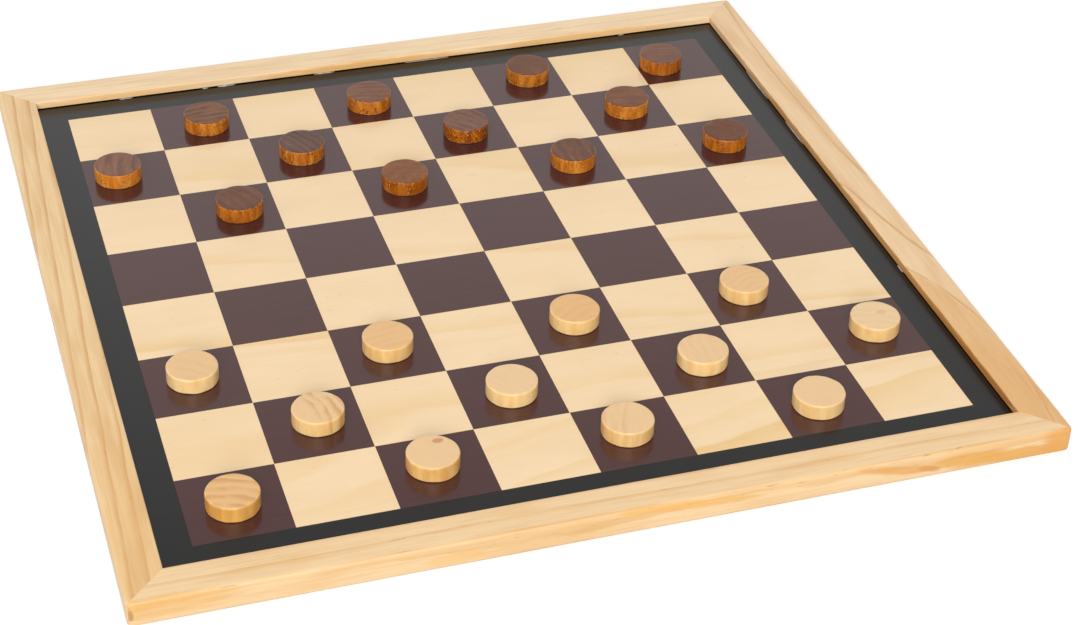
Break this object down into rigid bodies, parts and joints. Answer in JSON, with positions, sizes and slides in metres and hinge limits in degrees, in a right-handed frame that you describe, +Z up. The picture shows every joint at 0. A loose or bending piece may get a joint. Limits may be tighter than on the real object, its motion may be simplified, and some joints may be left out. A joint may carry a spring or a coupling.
{
  "type": "draughts board with draughts",
  "caption": "Shallow framed board for draughts: mitred pine rails round a printed plywood panel, with loose turned wooden discs set out on the dark squares.",
  "frame": {"origin": "middle of the frame's underside, on the surface it rests on", "axes": "+Z up, out of the board; +Y away from the player of the light draughts; +X to that player's right"},
  "size_m": [0.4, 0.4, 0.0153],
  "materials": {
    "pine": "clear satin lacquer",
    "plywood": "clear semi-gloss lacquer",
    "dark_square_ink": "dark brown print under semi-gloss lacquer",
    "border_ink": "black-grey print under semi-gloss lacquer",
    "light_draught_wood": "clear satin lacquer",
    "dark_draught_wood": "brown stain under satin lacquer",
    "brad_steel": "bright",
    "putty": "matt"
  },
  "bodies": {
    "board": {"rail_front": "pine", "rail_back": "pine", "rail_left": "pine", "rail_right": "pine", "game_panel": "plywood", "dark_square_print": "dark_square_ink", "border_print": "border_ink", "mitre_brads": "brad_steel", "brad_fillings": "putty"},
    "draught_light_01": {"draught_light_01": "light_draught_wood"},
    "draught_light_02": {"draught_light_02": "light_draught_wood"},
    "draught_light_03": {"draught_light_03": "light_draught_wood"},
    "draught_light_04": {"draught_light_04": "light_draught_wood"},
    "draught_light_05": {"draught_light_05": "light_draught_wood"},
    "draught_light_06": {"draught_light_06": "light_draught_wood"},
    "draught_light_07": {"draught_light_07": "light_draught_wood"},
    "draught_light_08": {"draught_light_08": "light_draught_wood"},
    "draught_light_09": {"draught_light_09": "light_draught_wood"},
    "draught_light_10": {"draught_light_10": "light_draught_wood"},
    "draught_light_11": {"draught_light_11": "light_draught_wood"},
    "draught_light_12": {"draught_light_12": "light_draught_wood"},
    "draught_dark_01": {"draught_dark_01": "dark_draught_wood"},
    "draught_dark_02": {"draught_dark_02": "dark_draught_wood"},
    "draught_dark_03": {"draught_dark_03": "dark_draught_wood"},
    "draught_dark_04": {"draught_dark_04": "dark_draught_wood"},
    "draught_dark_05": {"draught_dark_05": "dark_draught_wood"},
    "draught_dark_06": {"draught_dark_06": "dark_draught_wood"},
    "draught_dark_07": {"draught_dark_07": "dark_draught_wood"},
    "draught_dark_08": {"draught_dark_08": "dark_draught_wood"},
    "draught_dark_09": {"draught_dark_09": "dark_draught_wood"},
    "draught_dark_10": {"draught_dark_10": "dark_draught_wood"},
    "draught_dark_11": {"draught_dark_11": "dark_draught_wood"},
    "draught_dark_12": {"draught_dark_12": "dark_draught_wood"}
  },
  "joints": [
    {"name": "draught_light_01_lift", "type": "slide", "parent": "board", "child": "draught_light_01", "axis": [0, 0, 1], "range_m": [0, 0.03]},
    {"name": "draught_light_02_lift", "type": "slide", "parent": "board", "child": "draught_light_02", "axis": [0, 0, 1], "range_m": [0, 0.03]},
    {"name": "draught_light_03_lift", "type": "slide", "parent": "board", "child": "draught_light_03", "axis": [0, 0, 1], "range_m": [0, 0.03]},
    {"name": "draught_light_04_lift", "type": "slide", "parent": "board", "child": "draught_light_04", "axis": [0, 0, 1], "range_m": [0, 0.03]},
    {"name": "draught_light_05_lift", "type": "slide", "parent": "board", "child": "draught_light_05", "axis": [0, 0, 1], "range_m": [0, 0.03]},
    {"name": "draught_light_06_lift", "type": "slide", "parent": "board", "child": "draught_light_06", "axis": [0, 0, 1], "range_m": [0, 0.03]},
    {"name": "draught_light_07_lift", "type": "slide", "parent": "board", "child": "draught_light_07", "axis": [0, 0, 1], "range_m": [0, 0.03]},
    {"name": "draught_light_08_lift", "type": "slide", "parent": "board", "child": "draught_light_08", "axis": [0, 0, 1], "range_m": [0, 0.03]},
    {"name": "draught_light_09_lift", "type": "slide", "parent": "board", "child": "draught_light_09", "axis": [0, 0, 1], "range_m": [0, 0.03]},
    {"name": "draught_light_10_lift", "type": "slide", "parent": "board", "child": "draught_light_10", "axis": [0, 0, 1], "range_m": [0, 0.03]},
    {"name": "draught_light_11_lift", "type": "slide", "parent": "board", "child": "draught_light_11", "axis": [0, 0, 1], "range_m": [0, 0.03]},
    {"name": "draught_light_12_lift", "type": "slide", "parent": "board", "child": "draught_light_12", "axis": [0, 0, 1], "range_m": [0, 0.03]},
    {"name": "draught_dark_01_lift", "type": "slide", "parent": "board", "child": "draught_dark_01", "axis": [0, 0, 1], "range_m": [0, 0.03]},
    {"name": "draught_dark_02_lift", "type": "slide", "parent": "board", "child": "draught_dark_02", "axis": [0, 0, 1], "range_m": [0, 0.03]},
    {"name": "draught_dark_03_lift", "type": "slide", "parent": "board", "child": "draught_dark_03", "axis": [0, 0, 1], "range_m": [0, 0.03]},
    {"name": "draught_dark_04_lift", "type": "slide", "parent": "board", "child": "draught_dark_04", "axis": [0, 0, 1], "range_m": [0, 0.03]},
    {"name": "draught_dark_05_lift", "type": "slide", "parent": "board", "child": "draught_dark_05", "axis": [0, 0, 1], "range_m": [0, 0.03]},
    {"name": "draught_dark_06_lift", "type": "slide", "parent": "board", "child": "draught_dark_06", "axis": [0, 0, 1], "range_m": [0, 0.03]},
    {"name": "draught_dark_07_lift", "type": "slide", "parent": "board", "child": "draught_dark_07", "axis": [0, 0, 1], "range_m": [0, 0.03]},
    {"name": "draught_dark_08_lift", "type": "slide", "parent": "board", "child": "draught_dark_08", "axis": [0, 0, 1], "range_m": [0, 0.03]},
    {"name": "draught_dark_09_lift", "type": "slide", "parent": "board", "child": "draught_dark_09", "axis": [0, 0, 1], "range_m": [0, 0.03]},
    {"name": "draught_dark_10_lift", "type": "slide", "parent": "board", "child": "draught_dark_10", "axis": [0, 0, 1], "range_m": [0, 0.03]},
    {"name": "draught_dark_11_lift", "type": "slide", "parent": "board", "child": "draught_dark_11", "axis": [0, 0, 1], "range_m": [0, 0.03]},
    {"name": "draught_dark_12_lift", "type": "slide", "parent": "board", "child": "draught_dark_12", "axis": [0, 0, 1], "range_m": [0, 0.03]}
  ]
}
